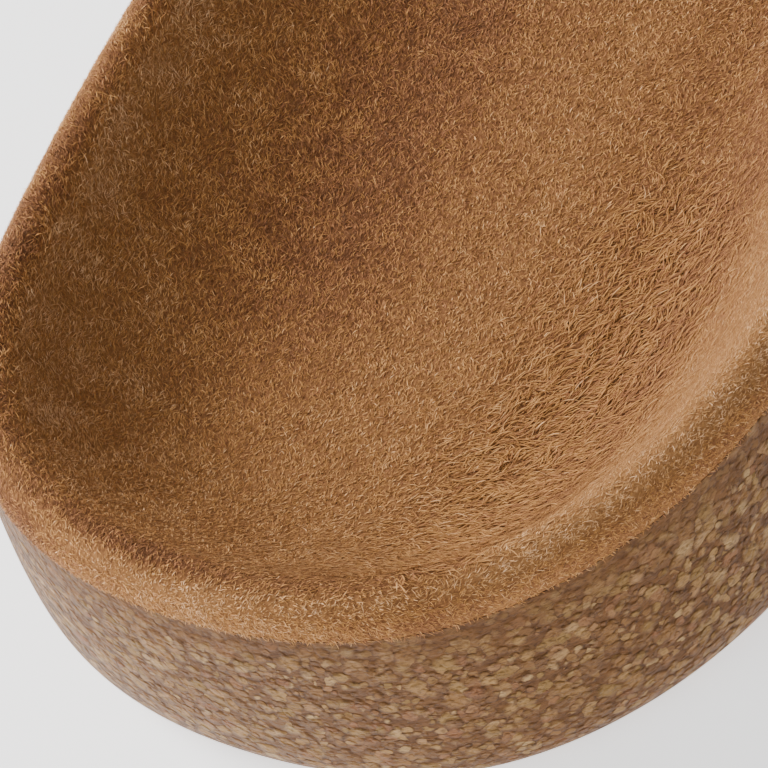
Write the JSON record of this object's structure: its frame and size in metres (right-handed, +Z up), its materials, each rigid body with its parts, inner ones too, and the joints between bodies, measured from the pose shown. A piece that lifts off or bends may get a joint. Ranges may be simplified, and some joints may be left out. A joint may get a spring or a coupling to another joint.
{
  "type": "footbed sandal",
  "caption": "Slip-on footbed sandal for a left foot: thick granulated cork sole with a deep heel cup, napped footbed liner rolled over its edge, and a plain banded upper open at toe and heel.",
  "frame": {"origin": "on the floor under the middle of the sandal's box", "axes": "+Z up from the floor, +Y along the sole towards the toe, +X towards the big-toe side"},
  "size_m": [0.1, 0.2676, 0.0814],
  "materials": {
    "cork": "bonded cork granules, sealed, matt with a slight sheen",
    "napped_liner": "tan microfibre with a short matted nap",
    "upper_felt": "brown felt with a short nap"
  },
  "bodies": {
    "root": {"cork_sole": "cork", "footbed_liner": "napped_liner", "upper": "upper_felt"}
  },
  "joints": []
}
